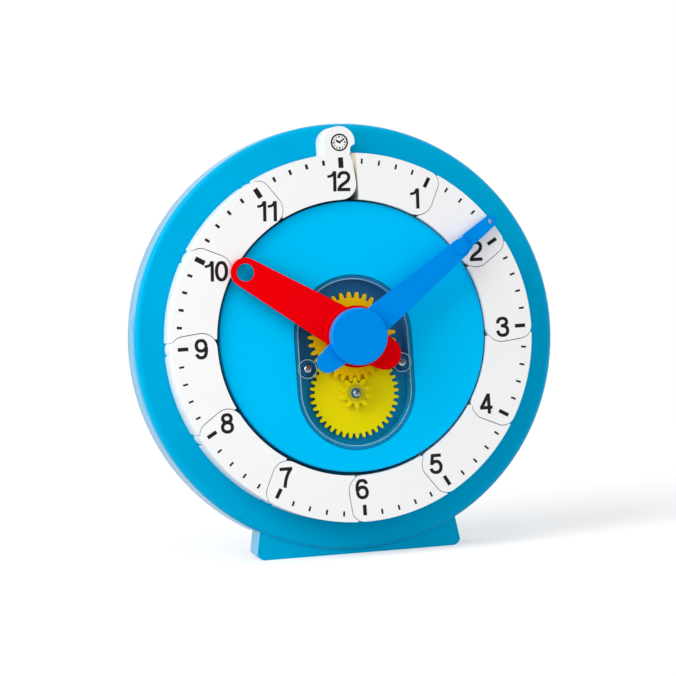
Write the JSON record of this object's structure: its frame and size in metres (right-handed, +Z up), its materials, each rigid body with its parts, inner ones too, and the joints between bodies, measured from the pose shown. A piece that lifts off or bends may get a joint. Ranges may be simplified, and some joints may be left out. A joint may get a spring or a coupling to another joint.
{
  "type": "geared teaching clock",
  "caption": "Standing classroom clock: round casing on a flat foot, visible gear train, two geared hands and a hinged number line curled round the dial.",
  "frame": {"origin": "middle of the foot's flat underside, on the table", "axes": "+Z up, the dial faces -Y and leans back, +X to the reader's right"},
  "size_m": [0.2442, 0.0731, 0.2448],
  "materials": {
    "casing_blue": "moulded ABS, satin gloss",
    "tray_blue": "darker blue moulded plastic",
    "pane_clear": "clear polystyrene pane",
    "screw_steel": "plated steel screws",
    "arbor_steel": "drawn steel rod and spring clip",
    "gear_yellow": "moulded acetal gears",
    "hour_red": "moulded red plastic",
    "minute_blue": "moulded blue plastic",
    "link_white": "moulded white plastic"
  },
  "bodies": {
    "housing": {"front_shell": "casing_blue", "rear_cover": "casing_blue", "cover_screws": "screw_steel", "gear_tray": "tray_blue", "window_pane": "pane_clear", "pane_screws": "screw_steel", "link_06": "link_white"},
    "minute_train": {"minute_hand": "minute_blue", "minute_arbor": "arbor_steel", "minute_pinion": "gear_yellow", "arbor_clip": "arbor_steel"},
    "hour_train": {"hour_hand": "hour_red", "hour_wheel": "gear_yellow"},
    "idler": {"idler_gear": "gear_yellow"},
    "link_01": {"link_01": "link_white"},
    "link_02": {"link_02": "link_white"},
    "link_03": {"link_03": "link_white"},
    "link_04": {"link_04": "link_white"},
    "link_05": {"link_05": "link_white"},
    "link_07": {"link_07": "link_white"},
    "link_08": {"link_08": "link_white"},
    "link_09": {"link_09": "link_white"},
    "link_10": {"link_10": "link_white"},
    "link_11": {"link_11": "link_white"},
    "link_12": {"link_12": "link_white"}
  },
  "joints": [
    {"name": "minute_turn", "type": "hinge", "parent": "housing", "child": "minute_train", "pos_m": [0, -0.02167, 0.12519], "axis": [0, 0.9962, -0.0872], "continuous": true},
    {"name": "hour_turn", "type": "hinge", "parent": "housing", "child": "hour_train", "pos_m": [0, -0.02167, 0.12519], "axis": [0, 0.9962, -0.0872], "continuous": true},
    {"name": "idler_turn", "type": "hinge", "parent": "housing", "child": "idler", "pos_m": [0, -0.02446, 0.09331], "axis": [0, 0.9962, -0.0872], "continuous": true},
    {"name": "pivot_06", "type": "hinge", "parent": "housing", "child": "link_07", "pos_m": [-0.0009, -0.02274, 0.02691], "axis": [0, -0.9962, 0.0872], "range_deg": [0, 15]},
    {"name": "pivot_07", "type": "hinge", "parent": "link_07", "child": "link_08", "pos_m": [-0.0497, -0.0216, 0.03994], "axis": [0, -0.9962, 0.0872], "range_deg": [0, 30]},
    {"name": "pivot_08", "type": "hinge", "parent": "link_08", "child": "link_09", "pos_m": [-0.08542, -0.01849, 0.07552], "axis": [0, -0.9962, 0.0872], "range_deg": [0, 30]},
    {"name": "pivot_09", "type": "hinge", "parent": "link_09", "child": "link_10", "pos_m": [-0.0985, -0.01423, 0.12414], "axis": [0, -0.9962, 0.0872], "range_deg": [0, 30]},
    {"name": "pivot_10", "type": "hinge", "parent": "link_10", "child": "link_11", "pos_m": [-0.08542, -0.00998, 0.17275], "axis": [0, -0.9962, 0.0872], "range_deg": [0, 30]},
    {"name": "pivot_11", "type": "hinge", "parent": "link_11", "child": "link_12", "pos_m": [-0.0497, -0.00687, 0.20834], "axis": [0, -0.9962, 0.0872], "range_deg": [0, 30]},
    {"name": "pivot_05", "type": "hinge", "parent": "housing", "child": "link_05", "pos_m": [0.0479, -0.0216, 0.03994], "axis": [0, 0.9962, -0.0872], "range_deg": [0, 30]},
    {"name": "pivot_04", "type": "hinge", "parent": "link_05", "child": "link_04", "pos_m": [0.08362, -0.01849, 0.07552], "axis": [0, 0.9962, -0.0872], "range_deg": [0, 30]},
    {"name": "pivot_03", "type": "hinge", "parent": "link_04", "child": "link_03", "pos_m": [0.0967, -0.01423, 0.12414], "axis": [0, 0.9962, -0.0872], "range_deg": [0, 30]},
    {"name": "pivot_02", "type": "hinge", "parent": "link_03", "child": "link_02", "pos_m": [0.08362, -0.00998, 0.17275], "axis": [0, 0.9962, -0.0872], "range_deg": [0, 30]},
    {"name": "pivot_01", "type": "hinge", "parent": "link_02", "child": "link_01", "pos_m": [0.0479, -0.00687, 0.20834], "axis": [0, 0.9962, -0.0872], "range_deg": [0, 30]}
  ],
  "couplings": [
    {"joint": "hour_turn", "follows": "minute_turn", "ratio": 0.083333},
    {"joint": "idler_turn", "follows": "minute_turn", "ratio": -0.275}
  ]
}
